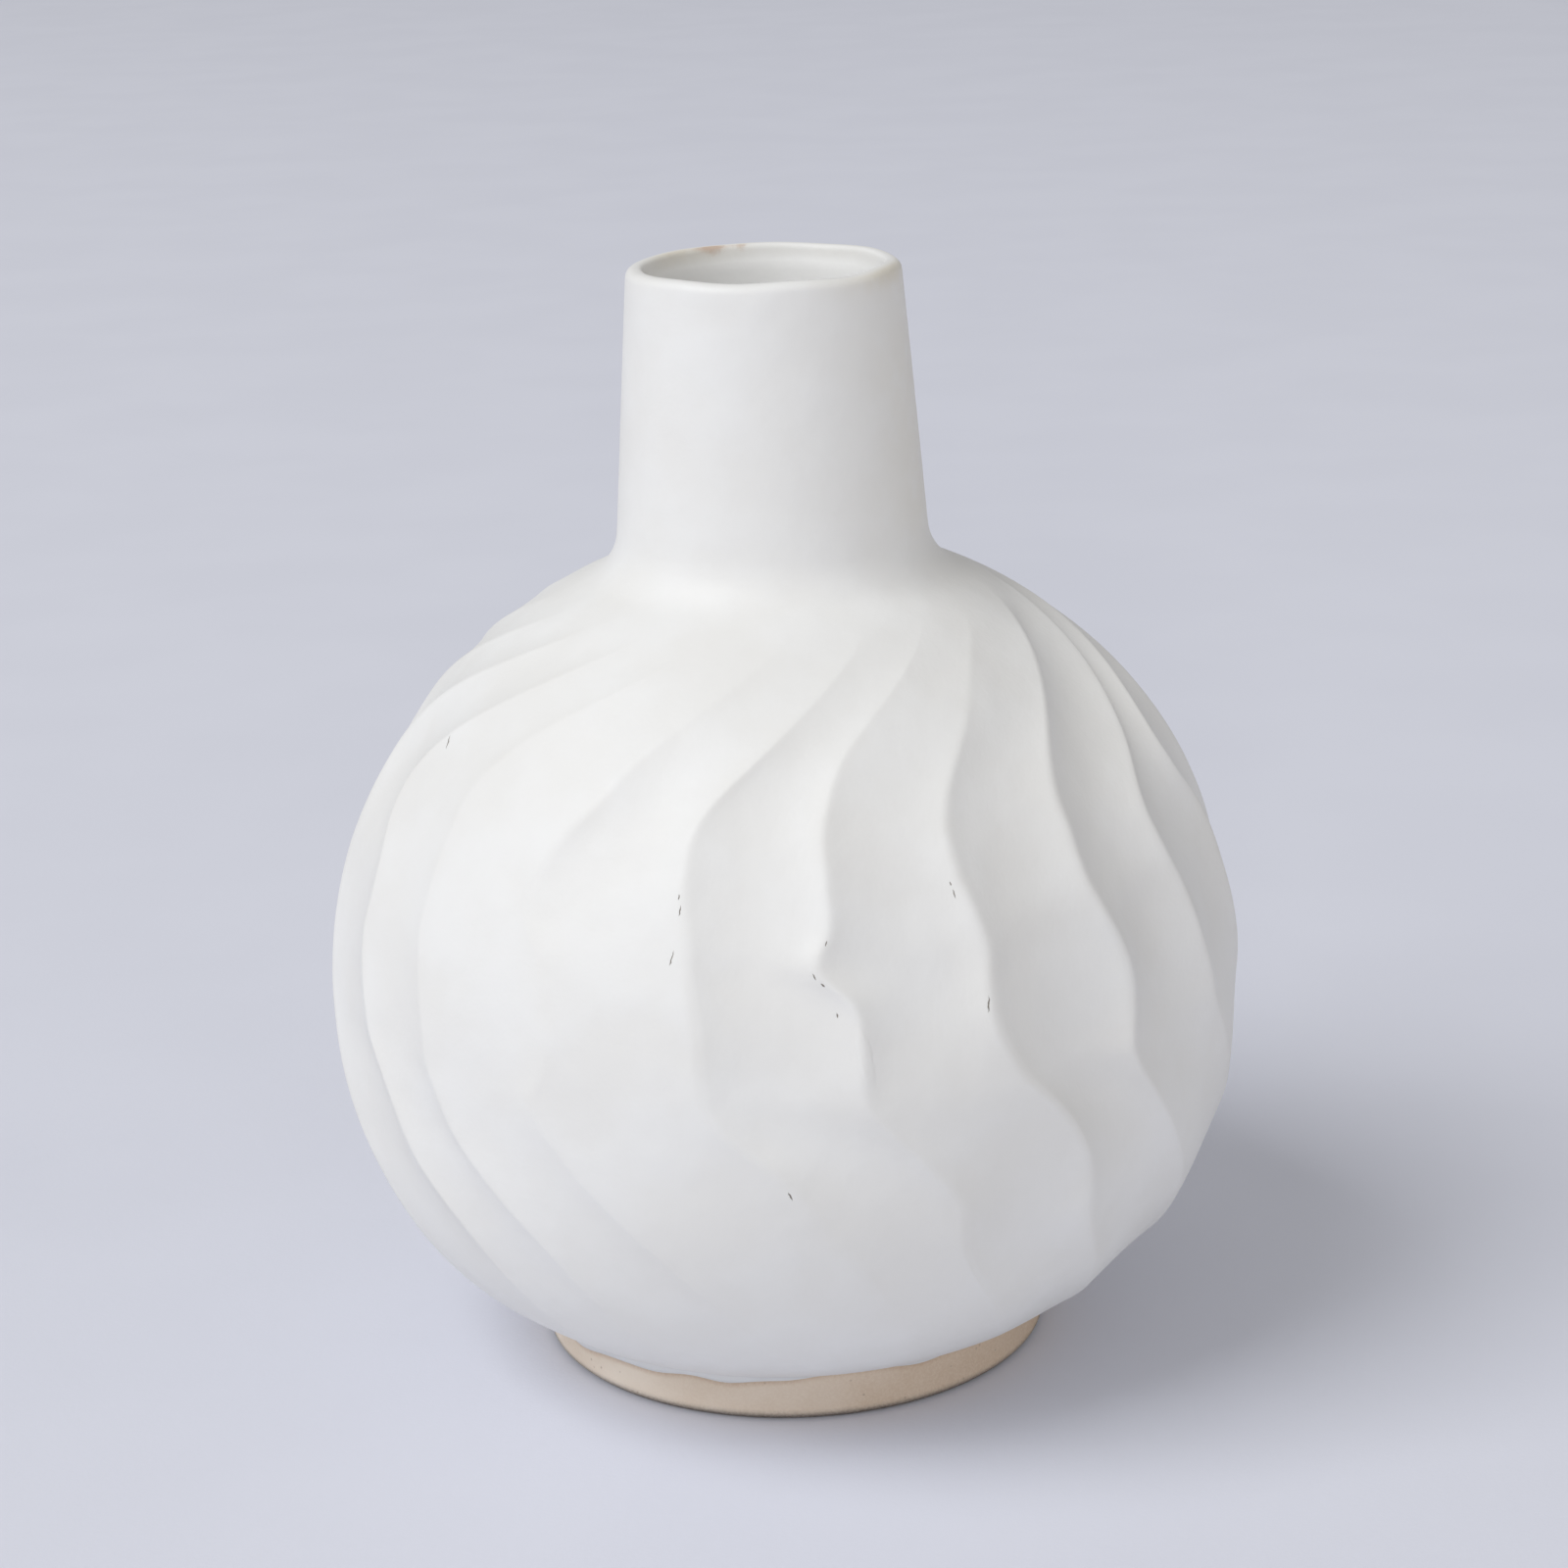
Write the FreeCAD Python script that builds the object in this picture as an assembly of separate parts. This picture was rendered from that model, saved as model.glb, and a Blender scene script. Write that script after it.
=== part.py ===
import FreeCAD, Part

# Bud vase: a thrown stoneware globe with carved, swirling flutes, a neck collar and a
# foot ring luted on, a white glaze over the outside and a liner glaze inside.
# Millimetres, +Z up. The origin is the centre of the foot ring's resting face.
# Angles are in degrees round +Z, with 0 at -Y (the front) and positive towards +X.

import math
import os

from FreeCAD import Vector

# Driving dimensions
HEIGHT = 140.0
BELLY_R = 58.4          # widest radius over the glaze
BELLY_Z = 49.2          # height of the widest circle
BELLY_RISE = 56.7       # from the belly up to where its ellipse would close
BELLY_DROP = 48.6       # from the belly down to where its curve would close
SQUARENESS = 2.4        # exponent of the lower curve, 2 being an ellipse
COAT = 0.6              # outer glaze thickness
LINER = 0.5             # liner glaze thickness

# Foot ring
FOOT_H = 6.7
FOOT_R = 32.7
FOOT_BORE_R = 26.0
FOOT_BEVEL = 0.7
FOOT_DRAFT = 0.4        # how much wider its bore is at the bottom

# Globe wall, inside
WALL = 5.0              # clay behind the glaze at the belly
FLOOR_Z = 12.5          # top of the clay floor
INNER_SQUARENESS = 3.0

# Neck collar
JOINT_Z = 100.4         # flat seam between globe and neck collar
NECK_BASE_R = 19.85     # over the glaze, at JOINT_Z
LIP_R = 16.7            # over the glaze, at HEIGHT
BORE_BASE_R = 16.0      # clay bore at JOINT_Z
BORE_LIP_R = 14.7       # clay bore at HEIGHT
NECK_FILLET = 7.0
THROAT_FLARE = 4.0      # how far the throat flares before the bowl's curve takes over
THROAT_H = 2.2          # height of that flare
THROAT_EASE = (1.2, 1.6)    # how far it holds the bore's line above and the bowl's below
LIP_ROUND = 1.25
DIP_DEPTH = 12.0        # how far the outer glaze runs down inside the lip

# Glaze line on the foot: mean height, one slow wave and two quick ones (size, count, start)
GLAZE_LINE_Z = 4.9
GLAZE_WAVES = ((1.0, 2, 20.0), (0.18, 7, 12.0), (0.13, 12, 40.0))

# Flutes
FLUTES = 20
FLUTE_DEPTH = 1.8
HOLLOW_AT = 0.5         # where a flute is deepest, as a share of its width
FRONT_RIDGES = (-69.0, -52.0, -33.0, -13.0, 5.5, 23.0, 42.5, 60.0)
TOP_SWING = 34.0        # how far the ridges swing round between the two heights below
TOP_SWING_Z = (80.0, 99.0)
LEAN = ((76.0, 0.2), (52.0, 0.5))   # below each height, degrees more per mm
FADE = ((6.7, 0.0), (18.0, 0.2), (31.0, 0.5), (53.0, 1.0), (86.0, 1.0), (95.0, 0.6), (100.4, 0.0))
DRIFT_Z = (6.7, 33.0, 47.0, 60.0, 68.0, 88.0, 100.4)
# The carver's hand: how far each front ridge strays at the heights above, in degrees
DRIFT = (
    (0.0, 3.0, 2.5, 1.0, 1.5, -0.5, 0.0),
    (0.0, 0.9, -2.0, -1.0, -1.6, -4.0, 0.0),
    (0.0, 0.5, -3.6, 0.8, 0.0, 2.5, 0.0),
    (0.0, 0.0, 1.5, -0.2, -0.3, 1.5, 0.0),
    (0.0, -2.5, 0.2, 1.0, -3.6, -2.0, 0.0),
    (0.0, -2.0, 4.2, -1.2, 1.9, -0.5, 0.0),
    (0.0, -2.0, -3.2, 0.3, 0.0, 0.0, 0.0),
    (0.0, 1.0, 1.5, 0.0, -0.7, 4.0, 0.0),
)
DRIFT_STRIDE = 3        # the ridges behind reuse the front ones' drift in another order
RIDGE_STEPS = (0.0, 0.08, 0.18, 0.32, 0.48, 0.64, 0.80, 0.92)
CARVED_ROWS = 34


# The outside surface

def eased(x, table):
    """Value at x of a table of (x, value), easing in and out between neighbours."""
    if x <= table[0][0]:
        return table[0][1]
    for (x0, v0), (x1, v1) in zip(table, table[1:]):
        if x <= x1:
            t = (x - x0) / (x1 - x0)
            return v0 + (v1 - v0) * t * t * (3.0 - 2.0 * t)
    return table[-1][1]


def belly_radius(z, inset=0.0):
    """Radius over the ridges at height z: an ellipse above the belly, a squarer curve below."""
    if z >= BELLY_Z:
        t = (z - BELLY_Z) / (BELLY_RISE - inset)
        return (BELLY_R - inset) * math.sqrt(1.0 - t * t)
    t = (BELLY_Z - z) / (BELLY_DROP - inset)
    return (BELLY_R - inset) * (1.0 - t ** SQUARENESS) ** (1.0 / SQUARENESS)


def belly_height(r, inset=0.0):
    """Height below the belly where the radius over the ridges is r."""
    share = (1.0 - (r / (BELLY_R - inset)) ** SQUARENESS) ** (1.0 / SQUARENESS)
    return BELLY_Z - (BELLY_DROP - inset) * share


def swing(z):
    """Degrees that every ridge has turned at height z: a curl at the top, two leans below."""
    low, high = TOP_SWING_Z
    turned = TOP_SWING * (max(0.0, z - low) / (high - low)) ** 2
    for top, rate in LEAN:
        turned += rate * max(0.0, top - z)
    return turned


def ridge_base(k):
    """Angle of ridge k at the belly, before it swings or drifts."""
    if k < len(FRONT_RIDGES):
        return FRONT_RIDGES[k]
    behind = FLUTES - len(FRONT_RIDGES) + 1
    span = FRONT_RIDGES[0] + 360.0 - FRONT_RIDGES[-1]
    return FRONT_RIDGES[-1] + span * (k - len(FRONT_RIDGES) + 1) / behind


def ridge_angle(k, z):
    """Angle of ridge k at height z; ridge FLUTES is ridge 0 a full turn on."""
    turns, k = divmod(k, FLUTES)
    row = k if k < len(DRIFT) else (k * DRIFT_STRIDE) % len(DRIFT)
    drift = eased(z, tuple(zip(DRIFT_Z, DRIFT[row])))
    return ridge_base(k) + swing(z) + drift + 360.0 * turns


def scoop(s):
    """Depth across one flute: 0 at both ridges and 1 in the hollow."""
    if s < HOLLOW_AT:
        return 1.0 - (1.0 - s / HOLLOW_AT) ** 2
    return 1.0 - ((s - HOLLOW_AT) / (1.0 - HOLLOW_AT)) ** 2


def at(r, angle, z):
    """Point at radius r, angle degrees from the front, height z."""
    a = math.radians(angle)
    return Vector(r * math.sin(a), -r * math.cos(a), z)


def carved_ring(z, inset):
    """Control points of the carved surface at height z."""
    ring = []
    for k in range(FLUTES):
        left, right = ridge_angle(k, z), ridge_angle(k + 1, z)
        for s in RIDGE_STEPS:
            r = belly_radius(z, inset) - FLUTE_DEPTH * eased(z, FADE) * scoop(s)
            ring.append(at(r, left + s * (right - left), z))
    return ring


def plain_angles(z):
    """Evenly spaced control-point angles round a plain ring near height z."""
    n = FLUTES * len(RIDGE_STEPS)
    return [ridge_angle(0, z) + 360.0 * i / n for i in range(n)]


def plain_ring(r, z, heights=None):
    """Control points of a true circle of radius r, or of a wavy line on its cylinder."""
    n = FLUTES * len(RIDGE_STEPS)
    reach = r * 3.0 / (2.0 + math.cos(2.0 * math.pi / n))
    angles = plain_angles(z)
    return [at(reach, a, heights(a) if heights else z) for a in angles]


def glaze_line(angle):
    """Height of the glaze's lower edge on the foot."""
    waves = (size * math.cos(math.radians(count * (angle - start))) for size, count, start in GLAZE_WAVES)
    return GLAZE_LINE_Z + sum(waves)


# Surface and solid makers

def skin(rings, degree=3):
    """Face over a stack of closed rings, each the same number of control points."""
    n = len(rings[0])
    spans = len(rings) - degree
    surface = Part.BSplineSurface()
    poles = [[ring[i] for ring in rings] for i in range(n)]
    surface.buildFromPolesMultsKnots(
        poles, [1] * (n + 1), [degree + 1] + [1] * (spans - 1) + [degree + 1],
        list(range(n + 1)), list(range(spans + 1)), True, False, 3, degree)
    return surface.toShape()


def end_edges(face):
    """The lower and the upper closed edge of a skin."""
    closed = sorted((e for e in face.Edges if e.isClosed()), key=lambda e: e.CenterOfMass.z)
    return closed[0], closed[-1]


def solid_from(faces):
    """One solid sewn from faces and shells."""
    flat = []
    for item in faces:
        flat.extend(item.Faces)
    shell = Part.makeShell(flat)
    shell.sewShape()
    made = Part.Solid(shell)
    if made.Volume < 0:
        made.reverse()
    assert made.isValid() and made.isClosed(), "the faces don't close"
    return made


def line(r0, z0, r1, z1):
    """Straight edge of an outline."""
    return Part.LineSegment(Vector(r0, 0, z0), Vector(r1, 0, z1)).toShape()


def rounded(corners):
    """Edges of an open outline of (r, z, radius) corners, with each inner corner rounded."""
    points = [Vector(r, 0, z) for r, z, _ in corners]
    edges = []
    start = points[0]
    for before, corner, after, (_, _, radius) in zip(points, points[1:], points[2:], corners[1:]):
        if radius:
            back, on = (before - corner).normalize(), (after - corner).normalize()
            half = back.getAngle(on) / 2.0
            reach = radius / math.tan(half)
            middle = (back + on).normalize() * (radius / math.sin(half) - radius)
            first, last = corner + back * reach, corner + on * reach
            edges.append(Part.LineSegment(start, first).toShape())
            edges.append(Part.Arc(first, corner + middle, last).toShape())
            start = last
        else:
            edges.append(Part.LineSegment(start, corner).toShape())
            start = corner
    edges.append(Part.LineSegment(start, points[-1]).toShape())
    return edges


def spun(edges, start=0.0):
    """Shell made by turning an outline once round the axis, from a start angle in degrees."""
    wire = Part.Wire(edges)
    wire.rotate(Vector(0, 0, 0), Vector(0, 0, 1), start)
    return wire.revolve(Vector(0, 0, 0), Vector(0, 0, 1), 360)


# Outlines

def neck_outside(inset):
    """Corners of the neck's outside: on from the globe's slope, then straight up to the lip."""
    taper = (LIP_R - NECK_BASE_R) / (HEIGHT - JOINT_Z)
    seam_r = belly_radius(JOINT_Z, inset)
    rise = seam_r * ((BELLY_RISE - inset) / (BELLY_R - inset)) ** 2 / (JOINT_Z - BELLY_Z)
    base_r = NECK_BASE_R - inset
    meet_r = base_r + taper * rise * (seam_r - base_r) / (1.0 + taper * rise)
    meet_z = JOINT_Z + rise * (seam_r - meet_r)
    lip_z = HEIGHT - inset
    return [
        (seam_r, JOINT_Z, 0.0),
        (meet_r, meet_z, NECK_FILLET + inset),
        (base_r + taper * (lip_z - JOINT_Z), lip_z, LIP_ROUND - inset),
    ]


def bore_radius(z, inset=0.0):
    """Clay bore of the neck at height z, less a glaze thickness."""
    share = (z - JOINT_Z) / (HEIGHT - JOINT_Z)
    return BORE_BASE_R + (BORE_LIP_R - BORE_BASE_R) * share - inset


def lip_to_bore(inset, bore_inset, low_z):
    """Corners from the lip's inner edge down the bore to low_z."""
    lip_z = HEIGHT - inset
    return [
        (bore_radius(lip_z, bore_inset), lip_z, LIP_ROUND - inset),
        (bore_radius(low_z, bore_inset), low_z, 0.0),
    ]


def cavity(inset):
    """Edges of the inside of the pot: the bore's foot, the throat's flare and the bowl."""
    wide = BELLY_R - COAT - WALL - inset
    rise = BELLY_RISE - COAT - WALL - inset
    drop = BELLY_Z - FLOOR_Z - inset
    throat_r = bore_radius(JOINT_Z, inset)
    power = 2.0 / INNER_SQUARENESS
    opening = math.acos((throat_r + THROAT_FLARE) / wide)
    bowl = []
    for i in range(8):
        a = opening * (7 - i) / 7.0
        bowl.append(Vector(wide * math.cos(a), 0, BELLY_Z + rise * math.sin(a)))
    for i in range(1, 10):
        a = math.pi / 2.0 * i / 10.0
        bowl.append(Vector(wide * math.cos(a) ** power, 0, BELLY_Z - drop * math.sin(a) ** power))
    bowl.append(Vector(0, 0, FLOOR_Z + inset))
    curve = Part.BSplineCurve()
    curve.interpolate(bowl)
    throat = Vector(throat_r, 0, bowl[0].z + THROAT_H)
    above, below = THROAT_EASE
    along = curve.tangent(curve.FirstParameter)[0]
    flare = Part.BezierCurve()
    flare.setPoles([throat, throat - Vector(0, 0, above), bowl[0] - along * below, bowl[0]])
    return [line(throat_r, JOINT_Z, throat_r, throat.z), flare.toShape(), curve.toShape()]


# The pieces

def carved_skin(inset, low_r, low_z):
    """The fluted outside from a plain ring near the foot up to the seam, moved in by inset."""
    rings = [plain_ring(low_r, low_z)]
    top = JOINT_Z
    turn = math.pi / CARVED_ROWS
    for i in range(1, CARVED_ROWS):
        z = (low_z + top) / 2.0 - (top - low_z) / 2.0 * math.cos(turn * i)
        rings.append(carved_ring(z, inset))
    rings.append(plain_ring(belly_radius(top, inset), top))
    return skin(rings)


def seam_start(edge):
    """Angle from +X at which a closed edge starts, so that a spun shell can start there too."""
    p = edge.Vertexes[0].Point
    return math.degrees(math.atan2(p.y, p.x))


def globe():
    """Thrown and carved clay wall with its floor, open at the top."""
    outside = carved_skin(COAT, FOOT_R, FOOT_H)
    bottom, top = end_edges(outside)
    inside = spun(cavity(0.0))
    rim = [e for e in inside.Edges if e.isClosed() and abs(e.CenterOfMass.z - JOINT_Z) < 1e-6][0]
    seam = Part.Face([Part.Wire(top), Part.Wire(rim)])
    under = Part.Face(Part.Wire(bottom))
    return solid_from([outside, inside, seam, under])


def neck_collar():
    """Thrown collar that stands on the globe's seam: flare, taper, rounded lip and bore."""
    corners = neck_outside(COAT) + lip_to_bore(COAT, 0.0, JOINT_Z)
    base = line(corners[-1][0], JOINT_Z, corners[0][0], JOINT_Z)
    return solid_from([spun(rounded(corners) + [base])])


def foot_ring():
    """Bare clay ring under the globe, bevelled at its resting face."""
    mouth_r = FOOT_BORE_R + FOOT_DRAFT
    outline = [
        (FOOT_BORE_R, FOOT_H), (mouth_r, FOOT_BEVEL), (mouth_r + FOOT_BEVEL, 0.0),
        (FOOT_R - FOOT_BEVEL, 0.0), (FOOT_R, FOOT_BEVEL), (FOOT_R, FOOT_H), (FOOT_BORE_R, FOOT_H),
    ]
    wire = Part.makePolygon([Vector(r, 0, z) for r, z in outline])
    return solid_from([wire.revolve(Vector(0, 0, 0), Vector(0, 0, 1), 360)])


def outer_glaze():
    """White coat over the globe, neck and lip, from a wavy line on the foot to inside the lip."""
    over_r = FOOT_R + COAT
    over_z = belly_height(over_r)
    over = carved_skin(0.0, over_r, over_z)
    under = carved_skin(COAT, FOOT_R, FOOT_H)
    skirt_over = skin([plain_ring(over_r, over_z, glaze_line), plain_ring(over_r, over_z)], degree=1)
    skirt_under = skin([plain_ring(FOOT_R, FOOT_H, glaze_line), plain_ring(FOOT_R, FOOT_H)], degree=1)
    lower_end = Part.makeRuledSurface(end_edges(skirt_over)[0], end_edges(skirt_under)[0])
    end_z = HEIGHT - DIP_DEPTH
    start = seam_start(end_edges(over)[1])
    neck_over = spun(rounded(neck_outside(0.0) + lip_to_bore(0.0, COAT, end_z)), start)
    neck_under = spun(rounded(neck_outside(COAT) + lip_to_bore(COAT, 0.0, end_z)), start)
    inner_end = spun([line(bore_radius(end_z, COAT), end_z, bore_radius(end_z), end_z)], start)
    return solid_from([over, under, skirt_over, skirt_under, lower_end, neck_over, neck_under, inner_end])


def liner_glaze():
    """Coat on the inside, from the outer glaze's edge in the neck down to the floor."""
    end_z = HEIGHT - DIP_DEPTH
    sides = []
    for inset in (0.0, LINER):
        neck = line(bore_radius(end_z, inset), end_z, bore_radius(JOINT_Z, inset), JOINT_Z)
        sides.append(spun([neck] + cavity(inset)))
    end = spun([line(bore_radius(end_z), end_z, bore_radius(end_z, LINER), end_z)])
    return solid_from(sides + [end])


PIECES = {
    "globe": globe,
    "neck_collar": neck_collar,
    "foot_ring": foot_ring,
    "outer_glaze": outer_glaze,
    "liner_glaze": liner_glaze,
}

os.makedirs("parts", exist_ok=True)
for name, make in PIECES.items():
    piece = make()
    piece.exportStep("parts/" + name + ".step")
    box = piece.optimalBoundingBox(True, False)
    print(f"{name}: {piece.Volume / 1000:.2f} cm3, z {box.ZMin:.2f} to {box.ZMax:.2f}, width {box.XLength:.2f}")
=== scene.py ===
import math

import bpy
import numpy as np
from mathutils import Euler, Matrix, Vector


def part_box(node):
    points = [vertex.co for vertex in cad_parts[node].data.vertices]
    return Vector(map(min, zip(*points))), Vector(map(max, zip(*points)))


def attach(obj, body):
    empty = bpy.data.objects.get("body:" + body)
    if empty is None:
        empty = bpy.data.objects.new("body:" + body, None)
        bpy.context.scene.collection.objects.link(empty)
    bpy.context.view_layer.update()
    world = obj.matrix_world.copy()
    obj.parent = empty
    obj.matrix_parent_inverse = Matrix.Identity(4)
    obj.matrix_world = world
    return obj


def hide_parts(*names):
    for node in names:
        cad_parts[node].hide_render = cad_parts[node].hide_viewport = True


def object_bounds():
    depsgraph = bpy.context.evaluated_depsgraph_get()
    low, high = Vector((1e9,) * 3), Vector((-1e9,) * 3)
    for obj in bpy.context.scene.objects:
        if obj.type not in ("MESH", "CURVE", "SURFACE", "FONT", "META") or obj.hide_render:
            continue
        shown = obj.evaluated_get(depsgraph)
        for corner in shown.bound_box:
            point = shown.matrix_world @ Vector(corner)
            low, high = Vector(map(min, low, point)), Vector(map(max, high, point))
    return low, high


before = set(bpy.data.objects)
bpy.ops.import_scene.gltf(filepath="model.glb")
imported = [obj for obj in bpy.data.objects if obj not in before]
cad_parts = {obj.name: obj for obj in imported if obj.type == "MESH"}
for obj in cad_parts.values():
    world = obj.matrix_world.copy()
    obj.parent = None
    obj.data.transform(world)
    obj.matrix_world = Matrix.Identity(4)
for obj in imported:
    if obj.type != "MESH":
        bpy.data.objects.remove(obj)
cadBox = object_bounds()
print("frame loaded:", ", ".join(sorted(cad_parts)))

mm = 0.001
mouthZ = cadBox[1].z                          # top of the lip
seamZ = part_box("globe")[1].z                  # where the neck stands on the globe
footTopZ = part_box("foot_ring")[1].z
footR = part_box("foot_ring")[1].x
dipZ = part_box("liner_glaze")[1].z             # the outer glaze ends here inside the neck
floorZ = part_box("liner_glaze")[0].z           # clay floor inside

body = {
    "bellyR": 58.4 * mm, "bellyZ": 49.2 * mm,     # over the ridges
    "rise": 56.7 * mm, "drop": 48.6 * mm, "squareness": 2.4,
    "wall": 5.0 * mm, "innerSquareness": 3.0,
    "unevenness": 0.10 * mm, "unevenFrom": 14.0,  # in full from this height in mm, none at the foot
}

neck = {
    "baseR": 19.85 * mm, "lipR": 16.7 * mm,       # over the glaze
    "boreBaseR": 16.0 * mm, "boreLipR": 14.7 * mm,
    "fillet": 7.0 * mm, "lipRound": 1.25 * mm,
    "lipSlope": 0.6 * mm, "lipSlopeH": 2.6 * mm, "slopeRound": 3.0 * mm,     # the lip falls away inside
    "throatFlare": 4.0 * mm, "throatH": 2.2 * mm, "throatHandles": (1.2 * mm, 1.6 * mm),
}

coat = {"outer": 0.6 * mm, "liner": 0.5 * mm}
drawn = {"belly": 2000, "bowlTop": 200, "bowl": 400, "throat": 30}     # points before they are spaced evenly

flutes = {
    "count": 20, "depth": 2.0 * mm, "hollowAt": 0.54,
    "steps": 18, "crowd": 0.09, "softening": 3,
    "front": (-69.0, -52.0, -33.0, -13.0, 5.5, 23.0, 42.5, 60.0),
    "swing": 34.0, "swingZ": (80.0, 99.0), "lean": ((76.0, 0.2), (52.0, 0.5)),
    # height in mm and the share of the full depth there
    "fade": ((6.7, 0.0), (18.0, 0.25), (31.0, 0.55), (53.0, 1.0), (86.0, 1.0), (95.0, 0.6), (100.4, 0.0)),
    # degrees that each front ridge strays from the common swing, at these heights
    "strayZ": (6.7, 20.0, 32.0, 38.0, 44.0, 50.0, 54.0, 60.0,
               64.0, 68.0, 72.0, 78.0, 84.0, 90.0, 96.0, 100.4),
    "stray": (
        (0.0, 3.1, 3.6, 2.1, 2.6, 2.6, 2.1, 0.9, 0.6, 1.4, 1.2, -1.0, -1.0, -0.5, 0.0, 0.0),
        (0.0, 0.5, 0.9, -0.6, -1.9, -1.2, -0.8, -1.1, -1.4, -1.6, -0.8, 0.0, -0.5, -1.0, 0.0, 0.0),
        (0.0, 0.0, -1.5, -3.0, -4.2, -4.2, -1.4, 0.8, 1.0, 0.7, -1.8, -0.2, 3.5, 2.4, 1.4, 0.0),
        (0.0, 0.5, 1.5, 1.6, 1.2, -1.2, -1.4, -0.6, -0.4, -0.3, 0.0, 0.0, 0.5, 1.8, 0.9, 0.0),
        (0.0, -4.0, -3.3, 0.1, -0.3, -1.5, -1.4, -0.2, -0.2, -3.4, -0.9, 0.1, -0.5, -2.9, -2.1, 0.0),
        (0.0, -3.5, -2.8, 0.6, 2.4, 1.9, 0.3, -1.2, -0.6, 0.6, 0.7, 0.1, 0.2, 0.1, -2.1, 0.0),
        (0.0, -2.0, -2.5, -3.0, -3.2, -3.2, -1.8, 0.3, 0.6, -0.1, -0.8, 0.0, 0.3, 0.7, 0.5, 0.0),
        (0.0, 1.0, 1.0, 0.5, 0.0, -0.5, 0.0, -0.2, -0.2, -0.5, -0.7, 0.6, 5.5, 5.6, 2.0, 0.0),
    ),
    "strayStride": 3,         # the ridges behind reuse these in another order
    # how deep the flute right of a ridge is cut, at these heights: the front ridges and the next behind
    "cutZ": (20.0, 35.0, 50.0, 65.0, 80.0, 92.0),
    "cut": (
        (0.70, 0.70, 0.60, 0.50, 0.40, 0.30),
        (0.60, 0.60, 0.40, 0.15, 0.15, 0.30),
        (0.30, 0.30, 0.30, 0.30, 0.80, 0.55),
        (0.45, 0.50, 0.85, 1.05, 0.95, 0.50),
        (2.40, 1.60, 0.45, 1.20, 0.80, 0.35),
        (2.10, 1.60, 1.50, 1.35, 1.05, 0.50),
        (0.50, 0.65, 1.25, 1.60, 1.30, 1.35),
        (0.20, 0.25, 0.45, 1.20, 1.45, 1.60),
        (0.20, 0.25, 0.60, 1.05, 1.00, 0.60),
    ),
    # the same for the flutes behind: between these, give or take the wander, and shallower at the top
    "behindCut": (0.8, 1.1), "behindWander": 0.1, "behindTop": 0.55,
    # heights where two strokes of the tool meet and leave the flute shallower
    "strokesMeet": (68.0, 50.0), "strokeScatter": 3.0, "strokeH": 2.6, "strokeLift": 0.10,
    "crestWidth": 1.3 * mm,
}

glazeLine = {
    "z": 5.1 * mm, "ragged": 0.26 * mm, "raggedCount": 9, "raggedAround": (5, 26),
    "waves": ((1.0, 2, 20.0), (0.18, 7, 12.0), (0.13, 12, 40.0)),     # mm, number round the pot, start
}
seeds = {"flutes": 11, "uneven": 5, "rings": 3, "glazeLine": 21, "lip": 8}


# sum of cosines of a random number, lean and start round the pot
def waver(angle, z, seed, size, count=7, around=(1, 8), tall=30 * mm):
    rng = np.random.default_rng(seed)
    total = 0.0
    for _ in range(count):
        number, lean, start = rng.integers(*around), rng.normal() / tall, rng.uniform(0, 2 * np.pi)
        total = total + np.cos(number * angle + lean * z + start)
    return size * total / math.sqrt(count)


# bell curve: 1 at the centre, about a third at half from it
def bell(x, centre, half):
    return np.exp(-((x - centre) / half) ** 2)


# value at x of (place, value) pairs, joined by curves that start and end level
def eased(x, table):
    places, values = np.array(table).T
    i = np.clip(np.searchsorted(places, x, side="right") - 1, 0, len(places) - 2)
    t = np.clip((x - places[i]) / (places[i + 1] - places[i]), 0, 1)
    return values[i] + (values[i + 1] - values[i]) * t * t * (3 - 2 * t)


# cubic curve through each row of values at the places, its slopes taken from the neighbours
def through(x, places, values):
    places, values = np.array(places), np.array(values)
    slopes = np.gradient(values, places, axis=1)
    i = np.clip(np.searchsorted(places, x, side="right") - 1, 0, len(places) - 2)
    gap = places[i + 1] - places[i]
    t = np.clip((x - places[i]) / gap, 0, 1)
    ends = values[:, i] * (2 * t**3 - 3 * t**2 + 1) + values[:, i + 1] * (3 * t**2 - 2 * t**3)
    return ends + gap * (slopes[:, i] * (t**3 - 2 * t**2 + t) + slopes[:, i + 1] * (t**3 - t**2))


# outline through (r, z, radius) corners, each inner one turned into an arc of its radius
def rounded(corners, gap=0.05 * mm):
    at = np.array(corners)[:, :2]
    points = [at[:1]]
    for before, corner, after, (_, _, radius) in zip(at, at[1:], at[2:], corners[1:]):
        if radius == 0:
            points.append(corner[None])
            continue
        back = (before - corner) / np.linalg.norm(before - corner)
        on = (after - corner) / np.linalg.norm(after - corner)
        half = math.acos(back @ on) / 2
        swept = math.pi - 2 * half
        middle = corner + (back + on) / np.linalg.norm(back + on) * radius / math.sin(half)
        first, last = back * radius / math.tan(half), on * radius / math.tan(half)
        t = np.linspace(0, 1, max(4, int(swept * radius / gap)))[:, None]
        fromFirst, toLast = np.sin((1 - t) * swept), np.sin(t * swept)
        turn = fromFirst * (corner + first - middle) + toLast * (corner + last - middle)
        points.append(middle + turn / math.sin(swept))
    points.append(at[-1:])
    return np.concatenate(points)


# distance along an outline to each of its points
def lengths(points):
    return np.concatenate([[0], np.cumsum(np.hypot(*np.diff(points, axis=0).T))])


# the same outline as points an even gap apart
def evenly(points, gap):
    along = lengths(points)
    places = np.linspace(0, along[-1], max(2, round(along[-1] / gap) + 1))
    return np.stack([np.interp(places, along, points[:, 0]), np.interp(places, along, points[:, 1])], axis=1)


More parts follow.
